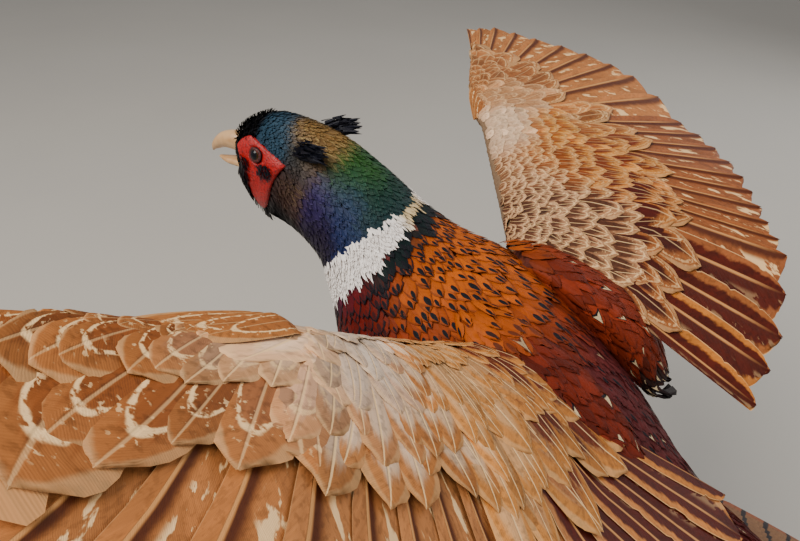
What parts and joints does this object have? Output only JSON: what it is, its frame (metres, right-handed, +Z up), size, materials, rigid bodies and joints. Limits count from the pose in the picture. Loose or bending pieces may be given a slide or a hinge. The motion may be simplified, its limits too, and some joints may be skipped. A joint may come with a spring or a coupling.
{
  "type": "taxidermy pheasant",
  "caption": "Life-size cock ring-necked pheasant mounted in flight, wings spread and tail trailing, held by one rod on a round base.",
  "frame": {"origin": "centre of the underside of the round base", "axes": "+Z up, the bird faces -Y, its left wing points to +X, its tail trails to +Y"},
  "size_m": [0.7637, 0.7527, 0.5777],
  "materials": {
    "stand_wood": "satin dark wood",
    "stand_steel": "brushed rod",
    "body_feathers": "copper feathers with black tips",
    "rump_feathers": "purple-maroon feathers",
    "neck_feathers": "iridescent blue-green feathers, white collar",
    "head_feathers": "iridescent dark blue feathers",
    "horn": "tan horn",
    "eye": "dark glass eye, polished",
    "wattle_skin": "red beaded skin",
    "ear_feathers": "black-blue feathers",
    "wing_coverts": "tan and cream mottled feathers",
    "flight_feathers": "brown feathers barred with cream",
    "tail_feathers": "buff-brown feathers with dark bars",
    "thigh_feathers": "dark brown feathers",
    "leg_skin": "grey scaled skin",
    "claw_horn": "dark horn"
  },
  "bodies": {
    "root": {"stand_base": "stand_wood", "stand_rod": "stand_steel", "trunk": "body_feathers", "rump": "rump_feathers", "neck": "neck_feathers", "head": "head_feathers", "bill_upper": "horn", "bill_lower": "horn", "eye_left": "eye", "wattle_left": "wattle_skin", "ear_tuft_left": "ear_feathers", "scapulars_left": "body_feathers", "wing_left_arm": "wing_coverts", "wing_left_hand": "wing_coverts", "wing_left_alula": "wing_coverts", "wing_left_primaries": "flight_feathers", "wing_left_secondaries": "flight_feathers", "wing_left_tertials": "flight_feathers", "thigh_left": "thigh_feathers", "shank_left": "leg_skin", "foot_left": "leg_skin", "spur_left": "claw_horn", "claw_left_inner": "claw_horn", "claw_left_middle": "claw_horn", "claw_left_outer": "claw_horn", "claw_left_hind": "claw_horn", "eye_right": "eye", "wattle_right": "wattle_skin", "ear_tuft_right": "ear_feathers", "scapulars_right": "body_feathers", "wing_right_arm": "wing_coverts", "wing_right_hand": "wing_coverts", "wing_right_alula": "wing_coverts", "wing_right_primaries": "flight_feathers", "wing_right_secondaries": "flight_feathers", "wing_right_tertials": "flight_feathers", "thigh_right": "thigh_feathers", "shank_right": "leg_skin", "foot_right": "leg_skin", "spur_right": "claw_horn", "claw_right_inner": "claw_horn", "claw_right_middle": "claw_horn", "claw_right_outer": "claw_horn", "claw_right_hind": "claw_horn", "tail_centre": "tail_feathers", "tail_left": "tail_feathers", "tail_right": "tail_feathers"}
  },
  "joints": []
}
